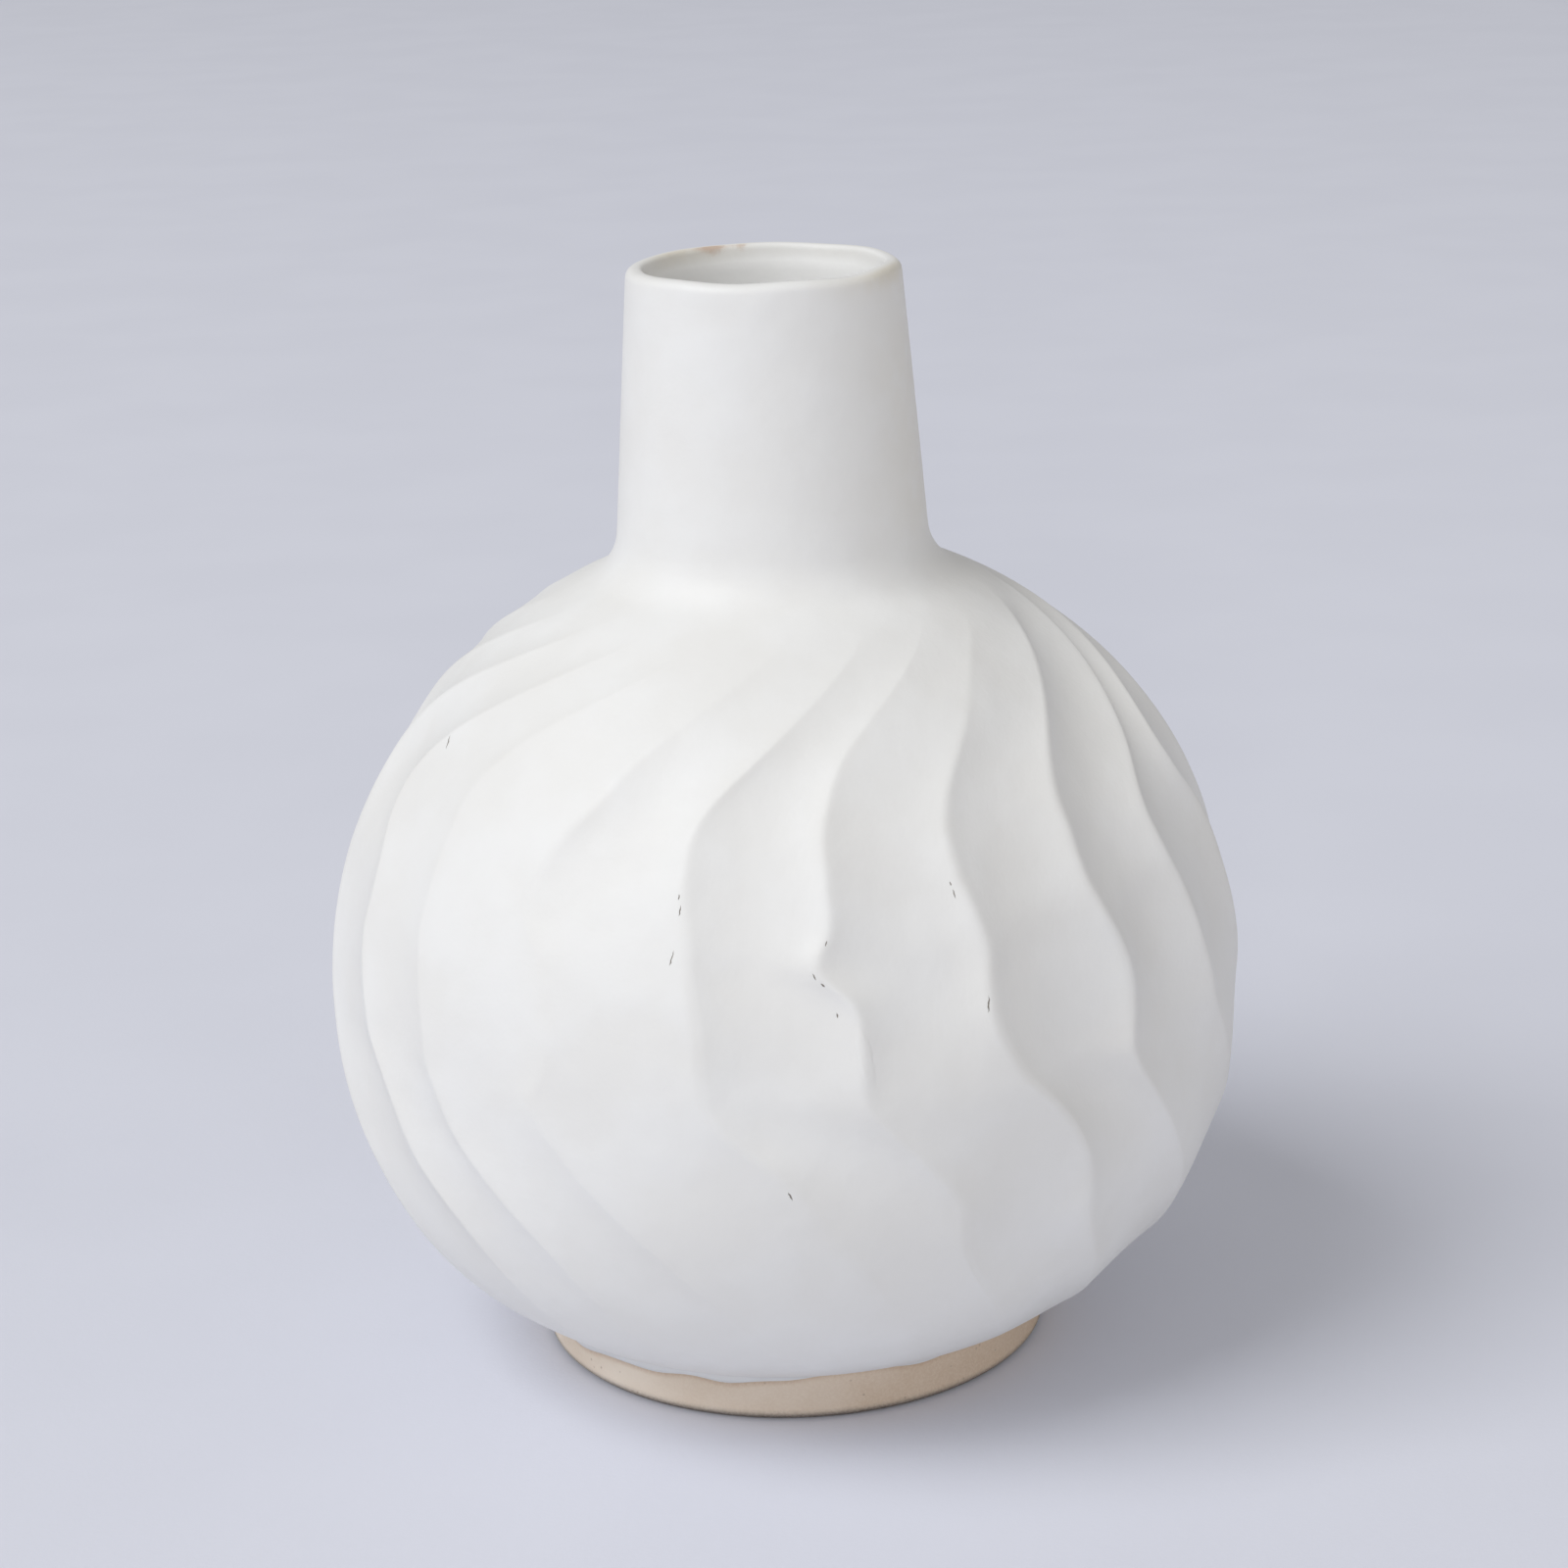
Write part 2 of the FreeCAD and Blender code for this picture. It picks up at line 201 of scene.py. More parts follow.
# stretches of outline end to end, without the points that they share
def joined(*stretches):
    return np.concatenate([s[:-1] for s in stretches[:-1]] + [stretches[-1]])


# radius of the globe at height z: an ellipse above the belly, a squarer curve below it
def bellyR(z, inset=0.0):
    r, above, below = body["bellyR"] - inset, body["rise"] - inset, body["drop"] - inset
    t = np.clip((z - body["bellyZ"]) / above, 0, 1)
    u = np.clip((body["bellyZ"] - z) / below, 0, 1)
    n = body["squareness"]
    return r * np.sqrt(1 - t * t) * (1 - u**n) ** (1 / n)


# height below the belly where the globe's radius is r
def bellyLowZ(r, inset=0.0):
    n = body["squareness"]
    return body["bellyZ"] - (body["drop"] - inset) * (1 - (r / (body["bellyR"] - inset)) ** n) ** (1 / n)


# the globe's outline between two heights, drawn finely and then spaced evenly
def bellyCurve(lowZ, highZ, inset, gap):
    t = np.linspace(0, np.pi, drawn["belly"])
    z = (lowZ + highZ) / 2 - (highZ - lowZ) / 2 * np.cos(t)
    return evenly(np.stack([bellyR(z, inset), z], axis=1), gap)


# corners of the neck's outside: on from the globe's slope, then straight up to the lip
def neckCorners(inset):
    taper = (neck["lipR"] - neck["baseR"]) / (mouthZ - seamZ)
    seamR = float(bellyR(seamZ, inset))
    rise = seamR * ((body["rise"] - inset) / (body["bellyR"] - inset)) ** 2 / (seamZ - body["bellyZ"])
    baseR = neck["baseR"] - inset
    meetR = baseR + taper * rise * (seamR - baseR) / (1 + taper * rise)
    lipZ = mouthZ - inset
    return [
        (seamR, seamZ, 0.0),
        (meetR, seamZ + rise * (seamR - meetR), neck["fillet"] + inset),
        (baseR + taper * (lipZ - seamZ), lipZ, neck["lipRound"] - inset),
    ]


# radius of the bore at height z: a straight taper from the seam to the lip
def boreR(z, inset=0.0):
    t = (z - seamZ) / (mouthZ - seamZ)
    return neck["boreBaseR"] + (neck["boreLipR"] - neck["boreBaseR"]) * t - inset


# corners from the lip's top over its sloped inner edge and down the bore
def lipCorners(inset, boreInset, lowZ):
    lipZ, slopeZ = mouthZ - inset, mouthZ - neck["lipSlopeH"]
    return [
        (boreR(lipZ, boreInset) + neck["lipSlope"], lipZ, neck["lipSlope"] - inset / 2),
        (boreR(slopeZ, boreInset), slopeZ, neck["slopeRound"]),
        (boreR(lowZ, boreInset), lowZ, 0.0),
    ]


# the inside from the seam down: a cubic flare for the throat, an ellipse to the belly, then a superellipse
# that flattens into the floor
def cavityOutline(inset):
    wide = body["bellyR"] - coat["outer"] - body["wall"] - inset
    rise = body["rise"] - coat["outer"] - body["wall"] - inset
    drop = body["bellyZ"] - floorZ - inset
    opening = math.acos((boreR(seamZ, inset) + neck["throatFlare"]) / wide)
    power = 2 / body["innerSquareness"]
    a, b = np.linspace(opening, 0, drawn["bowlTop"]), np.linspace(0, np.pi / 2, drawn["bowl"])[1:]
    upper = np.stack([wide * np.cos(a), body["bellyZ"] + rise * np.sin(a)], axis=1)
    lower = np.stack([wide * np.abs(np.cos(b)) ** power, body["bellyZ"] - drop * np.sin(b) ** power], axis=1)
    lower[-1, 0] = 0
    t = np.linspace(0, 1, drawn["throat"])[:, None]
    top = np.array([boreR(seamZ, inset), upper[0, 1] + neck["throatH"]])
    along = (upper[1] - upper[0]) / np.linalg.norm(upper[1] - upper[0])
    high, low = neck["throatHandles"]
    held, led = top - [0, high], upper[0] - along * low
    flare = (1 - t)**3 * top + 3 * t * (1 - t)**2 * held + 3 * t**2 * (1 - t) * led + t**3 * upper[0]
    return joined(np.array([[boreR(seamZ, inset), seamZ], top]), flare, upper, lower)


# angle of every ridge at each height, in degrees; the last is the first a full turn on
def ridgeAngles(z):
    z = np.clip(z, footTopZ, seamZ) / mm
    front = np.array(flutes["front"])
    behind = flutes["count"] - len(front)
    span = front[0] + 360 - front[-1]
    base = np.concatenate([front, front[-1] + span * np.arange(1, behind + 1) / (behind + 1)])
    low, high = flutes["swingZ"]
    swing = flutes["swing"] * (np.maximum(0, z - low) / (high - low)) ** 2
    for top, rate in flutes["lean"]:
        swing = swing + rate * np.maximum(0, top - z)
    k = np.arange(flutes["count"])
    rows = np.where(k < len(front), k, k * flutes["strayStride"] % len(front))
    stray = through(z, flutes["strayZ"], np.array(flutes["stray"])[rows]).T
    angles = base + swing[:, None] + stray
    return np.concatenate([angles, angles[:, :1] + 360], axis=1)


# places across one flute, crowded towards the ridges
def fluteSteps(steps):
    u = np.arange(steps) / steps
    return u - flutes["crowd"] * np.sin(2 * np.pi * u)


# depth across a flute: two half parabolas, 0 at both ridges and 1 in the hollow, softened round the pot
def scoop(s, softening):
    a = flutes["hollowAt"]
    depth = np.where(s < a, 1 - (1 - s / a) ** 2, 1 - ((s - a) / (1 - a)) ** 2)
    for _ in range(softening):
        depth = (np.roll(depth, 1) + 2 * depth + np.roll(depth, -1)) / 4
    return depth


# rows of (r, z) carried round the pot with columns that follow the ridges: the radius loses the flutes' depth
# times its fade, its strength and the scoop; also gives the angle, the height and how near a ridge is
def carved(outline, steps, softening):
    r, z = outline.T
    ridges = np.radians(ridgeAngles(z))
    s = np.tile(fluteSteps(steps), flutes["count"])
    left, right = np.repeat(ridges[:, :-1], steps, axis=1), np.repeat(ridges[:, 1:], steps, axis=1)
    angle = left + s * (right - left)
    rng = np.random.default_rng(seeds["flutes"])
    count, wander, scatter = flutes["count"], flutes["behindWander"], flutes["strokeScatter"]
    cuts = rng.uniform(*flutes["behindCut"], count)[:, None]
    cuts = cuts + rng.uniform(-wander, wander, (count, len(flutes["cutZ"])))
    cuts[:, -1] *= flutes["behindTop"]
    cuts[:len(flutes["cut"])] = flutes["cut"]
    strength = np.repeat(through(z / mm, flutes["cutZ"], cuts).T, steps, axis=1)
    offset = np.repeat(rng.uniform(-scatter, scatter, count), steps)
    lift = 0.0
    for meet in flutes["strokesMeet"]:
        lift = lift + flutes["strokeLift"] * bell(z[:, None] / mm - offset, meet, flutes["strokeH"])
    fade = eased(z / mm, flutes["fade"])[:, None]
    ease = eased(z / mm, ((footTopZ / mm, 0.0), (body["unevenFrom"], 1.0)))[:, None]
    uneven = ease * waver(angle, z[:, None], seeds["uneven"], body["unevenness"])
    radius = r[:, None] - flutes["depth"] * fade * strength * (1 - lift) * scoop(s, softening) + uneven
    fromRidge = np.minimum(s, 1 - s) * (right - left) * r[:, None]
    return angle, radius, z[:, None] + 0 * angle, bell(fromRidge, 0.0, flutes["crestWidth"]) * fade


# height of the glaze's lower edge on the foot: a few set cosines and many small random ones
def lineZ(angle):
    z = glazeLine["z"] + waver(angle, 0.0, seeds["glazeLine"], glazeLine["ragged"],
                               glazeLine["raggedCount"], glazeLine["raggedAround"])
    for size, count, start in glazeLine["waves"]:
        z = z + size * mm * np.cos(count * (angle - math.radians(start)))
    return z


# heights, stretched below the corner so that the level glaze line lands on the wavy one
def onLine(z, angle, cornerZ):
    share = (cornerZ - z) / (cornerZ - glazeLine["z"])
    return np.where(z < cornerZ, cornerZ - share * (cornerZ - lineZ(angle)), z)


# a point at radius r and height z, at an angle from the front (-Y), positive to the right (+X)
def placed(r, z, angle):
    r, z, angle = np.broadcast_arrays(r, z, angle)
    return np.stack([r * np.sin(angle), -r * np.cos(angle), z], axis=-1)


# a grid of rows round the axis as a mesh: loop joins the last row to the first, and a row at the axis
# becomes one point
def gridMesh(name, points, loop=False, marks=None, axisR=1e-7):
    rows, columns, _ = points.shape
    atAxis = [np.abs(points[j, :, :2]).max() < axisR for j in (0, -1)]
    ids = np.arange(rows * columns).reshape(rows, columns)
    beside = np.roll(ids, -1, axis=1)
    first, last = int(atAxis[0]), rows - int(atAxis[1])
    lower, upper = ids[first:last - 1], ids[first + 1:last]
    quads = np.stack([lower, np.roll(lower, -1, 1), np.roll(upper, -1, 1), upper], axis=-1).reshape(-1, 4)
    if loop:
        closing = np.stack([ids[-1], beside[-1], beside[0], ids[0]], axis=-1)
        quads = np.concatenate([quads, closing])
    faces = quads.tolist()
    if atAxis[0]:
        faces += np.stack([0 * ids[1], beside[1], ids[1]], axis=-1).tolist()
    if atAxis[1]:
        faces += np.stack([ids[-2], beside[-2], 0 * ids[-2] + ids[-1, 0]], axis=-1).tolist()
    used = np.zeros(rows * columns, bool)
    used[ids[first:last].ravel()] = True
    used[[0, ids[-1, 0]]] = True
    renumber = np.cumsum(used) - 1
    mesh = bpy.data.meshes.new(name)
    mesh.from_pydata(points.reshape(-1, 3)[used].tolist(), [], [[int(renumber[v]) for v in f] for f in faces])
    for mark, values in (marks or {}).items():
        layer = mesh.attributes.new(mark, "FLOAT", "POINT")
        values = np.broadcast_to(values, (rows, columns)).reshape(-1)[used]
        layer.data.foreach_set("value", values.astype(np.float32))
    mesh.shade_smooth()
    made = bpy.data.objects.new(name, mesh)
    bpy.context.scene.collection.objects.link(made)
    return made


# a socket whose arithmetic adds Math nodes
class Shade:
    def __init__(self, tree, socket=None):
        self.tree, self.socket = tree, socket

    # a node of any type: its settings first, then the values or links of its sockets
    def make(self, kind, settings=None, inputs=None, out=0):
        node = self.tree.nodes.new(kind)
        for key, value in (settings or {}).items():
            setattr(node, key, value)
        for key, value in (inputs or {}).items():
            if isinstance(value, Shade):
                self.tree.links.new(value.socket, node.inputs[key])
            else:
                node.inputs[key].default_value = value
        if len(node.outputs):
            return Shade(self.tree, node.outputs[out])

    def math(self, operation, *values):
        return self.make("ShaderNodeMath", {"operation": operation}, dict(enumerate(values)))

    def __add__(self, other):
        return self.math("ADD", self, other)

    def __sub__(self, other):
        return self.math("SUBTRACT", self, other)

    def __mul__(self, other):
        return self.math("MULTIPLY", self, other)

    def __rsub__(self, other):
        return self.math("SUBTRACT", other, self)

    __radd__ = __add__
    __rmul__ = __mul__

    def top(self, other):
        return self.math("MAXIMUM", self, other)

    # 0 below low, 1 above high, eased between
    def step(self, low, high):
        inputs = {"Value": self, "From Min": low, "From Max": high}
        return self.make("ShaderNodeMapRange", {"interpolation_type": "SMOOTHSTEP"}, inputs)

    # colour a where the mask is 0, b where it is 1
    def blend(self, a, b):
        colours = [c if isinstance(c, Shade) else (*c, 1) for c in (a, b)]
        settings = {"data_type": "RGBA", "clamp_factor": True}
        return self.make("ShaderNodeMix", settings, {0: self, 6: colours[0], 7: colours[1]}, 2)

    def place(self):
        return self.make("ShaderNodeTexCoord", out="Object")

    def noise(self, size, detail=2.0, roughness=0.5):
        inputs = {"Vector": self.place(), "Scale": 1 / size, "Detail": detail, "Roughness": roughness}
        return self.make("ShaderNodeTexNoise", {}, inputs)

    def mark(self, name):
        return self.make("ShaderNodeAttribute", {"attribute_name": name}, out="Fac")

    def bump(self, height, distance, normal=None):
        inputs = {"Height": height, "Distance": distance, "Strength": 1.0}
        if normal:
            inputs["Normal"] = normal
        return self.make("ShaderNodeBump", {}, inputs)


def newMaterial(name, viewColour):
    material = bpy.data.materials.new(name)
    material.use_nodes = True
    material.node_tree.nodes.clear()
    material.diffuse_color = (*viewColour, 1)
    return material, Shade(material.node_tree)


def finishMaterial(shade, inputs):
    surface = shade.make("ShaderNodeBsdfPrincipled", {}, inputs)
    shade.make("ShaderNodeOutputMaterial", {}, {"Surface": surface})


whiteGlaze = {
    "colour": (0.825, 0.814, 0.788), "thick": (0.85, 0.844, 0.826), "thin": (0.74, 0.70, 0.64),
    # on the next line: painted light inside the lip, a painted bluish shade above the glaze line, and a warm
    # tan that is the lip's own and also a painted shade on the neck's right side
    "paintedLight": (0.95, 0.945, 0.93), "paintedLineShade": (0.72, 0.75, 0.79), "tint": (0.76, 0.715, 0.62),
    "bare": (0.60, 0.47, 0.38), "soot": (0.20, 0.175, 0.15), "ior": 1.42,
    "roughness": 0.5, "rippleRough": 0.16, "cloudRough": 0.12, "bareRough": 0.25, "nickRough": 0.3,
    "cloud": 14 * mm, "cloudEdges": (0.35, 0.7), "lump": 7 * mm, "lumpH": 0.22 * mm,
    "ripple": 2.6 * mm, "rippleH": 0.055 * mm, "orangePeel": 0.5 * mm, "peelH": 0.014 * mm,
    # the patches' sizes, the values of noise between which they come in, and how strongly they show
    "thinPatch": 5 * mm, "thinEdges": (0.3, 0.75), "thinShare": 0.12,
    "tintPatch": 4 * mm, "tintEdges": (0.1, 0.6), "paintedLineShadeShare": 0.5,
    "barePatch": 1.2 * mm, "bareGain": 1.5, "bareFrom": 1.1, "bareSoft": 0.9,
    # nicks in the glaze along the ridges: angle, height, length, tilt in degrees
    "nicks": (
        (-64.9, 85.8, 1.6, -30.0), (-13.1, 74.4, 1.1, 5.0), (-13.4, 75.8, 0.6, 5.0), (-13.8, 69.4, 1.6, 14.0),
        (3.4, 67.3, 0.8, -22.0), (4.3, 66.3, 0.6, -25.0), (5.0, 70.8, 0.6, 20.0), (5.8, 62.8, 0.6, -10.0),
        (22.3, 74.3, 1.0, -8.0), (22.0, 75.4, 0.5, -8.0), (24.2, 62.1, 1.9, 10.0), (-0.3, 41.7, 1.2, -18.0),
        (98.0, 71.0, 1.5, 12.0), (134.0, 58.0, 1.2, -10.0), (171.0, 80.0, 1.6, 20.0), (205.0, 66.0, 1.3, 8.0),
        (243.0, 74.0, 1.1, -14.0),
    ),
    "nickWidth": 0.15 * mm,
    # runs that stand proud where the glaze crept on firing, given like the nicks
    "runs": ((8.8, 58.0, 7.0, -9.0), (152.0, 52.0, 6.0, 12.0), (262.0, 63.0, 5.0, -6.0)),
    "runWidth": 1.6 * mm, "runH": 0.05 * mm,
}
torn = {"size": 0.8 * mm, "shake": 0.5 * mm, "through": 4 * mm, "edges": (0.35, 0.62)}


# a slim ellipsoid at each (angle, height, length, tilt): 1 inside it, eased to 0 outside; a noise shakes the
# places that are read, so that its edge looks torn
def marksMask(shade, marks, width):
    inputs = {"Vector": shade.place(), "Scale": 1 / torn["size"]}
    wobble = shade.make("ShaderNodeTexNoise", {}, inputs, "Color")
    shift = shade.make("ShaderNodeVectorMath", {"operation": "MULTIPLY_ADD"},
                       {0: wobble, 1: (torn["shake"],) * 3, 2: shade.place()})
    mask = None
    for angle, z, length, tilt in marks:
        turn = math.radians(angle)
        centre = placed(bellyR(z * mm), z * mm, turn) + torn["shake"] / 2
        local = shade.make("ShaderNodeMapping", {"vector_type": "TEXTURE"}, {
            "Vector": shift, "Location": centre.tolist(), "Rotation": (0, math.radians(tilt), turn),
            "Scale": (width, torn["through"], length * mm)})
        distance = shade.make("ShaderNodeVectorMath", {"operation": "LENGTH"}, {0: local}, "Value")
        one = 1 - distance.step(*torn["edges"])
        mask = one if mask is None else mask.top(one)
    return mask


# satin glaze: clouds drift between two whites, and lumps, ripples and orange peel shape it; outside, its
# marks show where it is thin, warm or gone, and add painted light inside the lip, a painted shade above
# the glaze line and a warm painted shade on the neck's right side
def glazeMaterial(name, look, outside):
    material, shade = newMaterial(name, look["colour"])
    clouds = shade.noise(look["cloud"], 4.0)
    ripple = shade.noise(look["ripple"], 2.0)
    peel = shade.noise(look["orangePeel"], 1.0)
    colour = clouds.step(*look["cloudEdges"]).blend(look["colour"], look["thick"])
    rough = look["roughness"] + (ripple - 0.5) * look["rippleRough"] + (clouds - 0.5) * look["cloudRough"]
    normal = shade.bump(shade.noise(look["lump"], 1.0), look["lumpH"])
    if outside:
        thin = shade.mark("crest") * shade.noise(look["thinPatch"], 3.0).step(*look["thinEdges"])
        warm = shade.mark("tint") * shade.noise(look["tintPatch"], 3.0).step(*look["tintEdges"])
        patchy = shade.noise(look["barePatch"], 5.0, roughness=0.75)
        showing = shade.mark("lip") * look["bareGain"] - look["bareFrom"] + patchy
        showing = showing.step(0.0, look["bareSoft"])
        nicks = marksMask(shade, look["nicks"], look["nickWidth"])
        colour = (thin * look["thinShare"]).blend(colour, look["thin"])
        # painted light: the inside of the lip whitened, most at the back right
        colour = shade.mark("paintedLight").blend(colour, look["paintedLight"])
        # warm tan: the lip's own warmth, and on the neck's right side a warm painted shade
        colour = warm.blend(colour, look["tint"])
        # painted shade: a bluish grey band just above the glaze line, where the coat curls under towards the
        # floor
        colour = (shade.mark("paintedLineShade") * look["paintedLineShadeShare"]).blend(colour, look["paintedLineShade"])
        colour = showing.blend(colour, look["bare"])
        colour = nicks.blend(colour, look["soot"])
        rough = rough + showing * look["bareRough"] + nicks * look["nickRough"]
        normal = shade.bump(marksMask(shade, look["runs"], look["runWidth"]), look["runH"], normal)
    normal = shade.bump(ripple, look["rippleH"], normal)
    normal = shade.bump(peel, look["peelH"], normal)
    finishMaterial(shade, {"Base Color": colour, "Roughness": rough, "Normal": normal, "IOR": look["ior"]})
    return material


outer = {
    "skirtGap": 0.3 * mm, "bellyGap": 1.1 * mm, "filletGap": 0.6 * mm, "neckGap": 1.5 * mm,
    "lipGap": 0.3 * mm, "boreGap": 1.0 * mm,
    "backGap": 6.0 * mm, "backTopGap": 1.5 * mm, "backLowGap": 0.9 * mm,
    "backArcGap": 0.1 * mm, "edgeRound": 0.5 * mm, "cornerRound": 0.7 * mm,
    "cornerH": 1.5 * mm, "filletRun": 9.0 * mm, "lipH": 2.4 * mm,     # where one gap gives way to the next
    "bead": 0.06 * mm, "beadAt": 0.7 * mm, "beadHalf": 0.5 * mm, "beadFrom": 0.1 * mm,
    "lipDip": 0.125 * mm, "lipWaves": 5, "neckRings": 0.010 * mm, "ringPitch": 3.4 * mm, "ringWander": 1.2,
    # height in mm and a share from 0 to 1 there
    "ringZ": ((101.0, 0.0), (106.0, 1.0), (130.0, 1.0), (137.0, 0.3)),
    "dipZ": ((132.0, 0.0), (140.0, 1.0)),
    "lipZ": ((136.5, 0.0), (138.8, 1.0)),
    # heights on the neck where its warm painted shade shows
    "paintedShadeNeckZ": ((104.0, 0.0), (110.0, 1.0), (128.0, 1.0), (138.0, 0.4)),
    # painted light inside the lip: the heights where it shows, and its least strength round the pot
    "paintedLightZ": ((137.5, 1.0), (139.2, 0.0)), "paintedLightLeast": 0.25,
    # radius and half-width of the lip's two edges, and the height of the painted shade above the glaze line
    "innerEdge": (14.9 * mm, 0.5 * mm), "outerEdge": (16.5 * mm, 0.7 * mm), "paintedLineShadeH": 1.5 * mm,
    # patches round the pot: degrees from the front, half-width in degrees, strength
    "bareInner": ((-155.0, 9.0, 0.95), (-170.0, 5.0, 0.7), (-132.0, 22.0, 0.55)),
    "bareOuter": ((70.0, 14.0, 0.35),),
    "warmInner": ((-135.0, 30.0, 1.0),),
    "warmOuter": ((66.0, 26.0, 1.0), (150.0, 30.0, 0.3)),
    # a warm painted shade on the neck's right side, away from the light
    "paintedShadeNeck": ((72.0, 26.0, 0.35),),
    # where the painted light inside the lip is strongest
    "paintedLightAt": ((150.0, 75.0, 0.75),),
}


# (r, z) points of the coat's face, from the foot over the lip and down the bore, and of its back, which goes
# down again on the clay; also the height of the corner between the skirt on the foot and the globe
def glazeOutline():
    t = coat["outer"]
    overR = footR + t
    cornerZ = float(bellyLowZ(overR))
    nearZ = cornerZ + outer["cornerH"]
    skirt = rounded([
        (footR, glazeLine["z"], 0.0), (overR, glazeLine["z"], outer["edgeRound"]),
        (overR, cornerZ, outer["cornerRound"]), (float(bellyR(nearZ)), nearZ, 0.0),
    ])
    belly = bellyCurve(nearZ, seamZ, 0.0, outer["bellyGap"])
    top = rounded(neckCorners(0.0) + lipCorners(0.0, t, dipZ))
    cut = np.searchsorted(lengths(top), outer["filletRun"])
    high = top[:, 1] > mouthZ - outer["lipH"]
    rim, inside = np.argmax(high), len(top) - np.argmax(high[::-1])
    front = joined(
        evenly(skirt, outer["skirtGap"]), belly, evenly(top[:cut + 1], outer["filletGap"]),
        evenly(top[cut:rim + 1], outer["neckGap"]), evenly(top[rim:inside], outer["lipGap"]),
        evenly(top[inside - 1:], outer["boreGap"]))
    backTop = rounded(neckCorners(t) + lipCorners(t, 0.0, dipZ), outer["backArcGap"])[::-1]
    backLow = np.array([[footR, footTopZ], [footR, glazeLine["z"]]])
    back = joined(
        evenly(backTop, outer["backTopGap"]), bellyCurve(footTopZ, seamZ, t, outer["backGap"])[::-1],
        evenly(backLow, outer["backLowGap"]))
    return front, back, cornerZ


# sum of bell curves round the pot, one for each (degrees from the front, half-width, strength)
def patches(angle, table):
    total = 0.0
    for centre, half, strength in table:
        away = (np.degrees(angle) - centre + 180) % 360 - 180
        total = total + strength * bell(away, 0.0, half)
    return total


# marks from 0 to 1 on the coat: bare and warm patches on the lip, a warm painted shade on the neck's right
# side, painted light inside the lip that is strongest at the back right, and a painted shade above the glaze
# line; each is a share by height or radius times patches round the pot
def glazeMarks(outline, angle, z, height, shown):
    r, level = outline[:, :1], outline[:, 1:] / mm
    innerEdge = eased(level, outer["lipZ"]) * bell(r, *outer["innerEdge"])
    outerEdge = eased(level, outer["lipZ"]) * bell(r, *outer["outerEdge"])
    onNeck = eased(z / mm, outer["paintedShadeNeckZ"]) * (r > neck["boreBaseR"])
    bare = innerEdge * patches(angle, outer["bareInner"]) + outerEdge * patches(angle, outer["bareOuter"])
    warm = innerEdge * patches(angle, outer["warmInner"]) + outerEdge * patches(angle, outer["warmOuter"])
    # the neck's part is a warm painted shade on its right side
    warm = warm + onNeck * patches(angle, outer["paintedShadeNeck"])
    pastTop = np.arange(len(outline))[:, None] >= np.argmax(level)
    # painted light inside the lip, by height, stronger at the back right
    paintedLight = eased(level, outer["paintedLightZ"]) * (outer["paintedLightLeast"] + patches(angle, outer["paintedLightAt"]))
    # painted shade above the glaze line, fading upward
    paintedLineShade = bell(height, 0.0, outer["paintedLineShadeH"]) * (height > 0) * (r > footR)
    return {"lip": bare * shown, "tint": warm * shown, "paintedLight": paintedLight * pastTop, "paintedLineShade": paintedLineShade * shown}


# the outer coat: its outline carried round the pot along the ridges, with a bead at its lower edge, faint
# rings that climb the neck as a sine of the height, and a lip that dips unevenly
def makeOuterGlaze():
    front, back, cornerZ = glazeOutline()
    outline = np.concatenate([front, back[:-1]])
    angle, r, z, crest = carved(outline, flutes["steps"], flutes["softening"])
    shown = np.arange(len(outline))[:, None] < len(front)
    z = onLine(z, angle, np.where(shown, cornerZ, footTopZ))
    height = z - lineZ(angle)
    bead = outer["bead"] * bell(height, outer["beadAt"], outer["beadHalf"]) * (height > outer["beadFrom"])
    wander = waver(angle, z, seeds["rings"], outer["ringWander"])
    rings = outer["neckRings"] * np.sin(2 * np.pi * z / outer["ringPitch"] - angle + wander)
    r = r + shown * (bead + eased(z / mm, outer["ringZ"]) * rings)
    dip = outer["lipDip"] * (1 + waver(angle, 0 * z, seeds["lip"], 1.0, outer["lipWaves"]))
    z = z - eased(z / mm, outer["dipZ"]) * dip
    marks = {"crest": crest, **glazeMarks(outline, angle, z, height, shown)}
    glaze = gridMesh("outerGlaze", placed(r, z, angle), loop=True, marks=marks)
    glaze.data.materials.append(glazeMaterial("whiteGlaze", whiteGlaze, True))
    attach(glaze, "root")
    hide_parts("outer_glaze")
    print("outer glaze:", len(glaze.data.polygons), "faces")
    return glaze


liner = {
    "columns": 128, "gap": 1.2 * mm, "backGap": 3.6 * mm,
    "rings": 0.10 * mm, "ringPitch": 4.6 * mm, "ringsFullR": 6.0 * mm,
}
# the liner's colour is darker than the outside's: painted shade inside the pot
linerGlaze = {**whiteGlaze, "colour": (0.80, 0.795, 0.785), "roughness": 0.42}


# one side of the liner, from its top edge in the neck down to the floor's centre
def linerSide(inset, gap):
    bore = np.array([[boreR(dipZ, inset), dipZ], [boreR(seamZ, inset), seamZ]])
    return evenly(joined(bore, cavityOutline(inset)), gap)


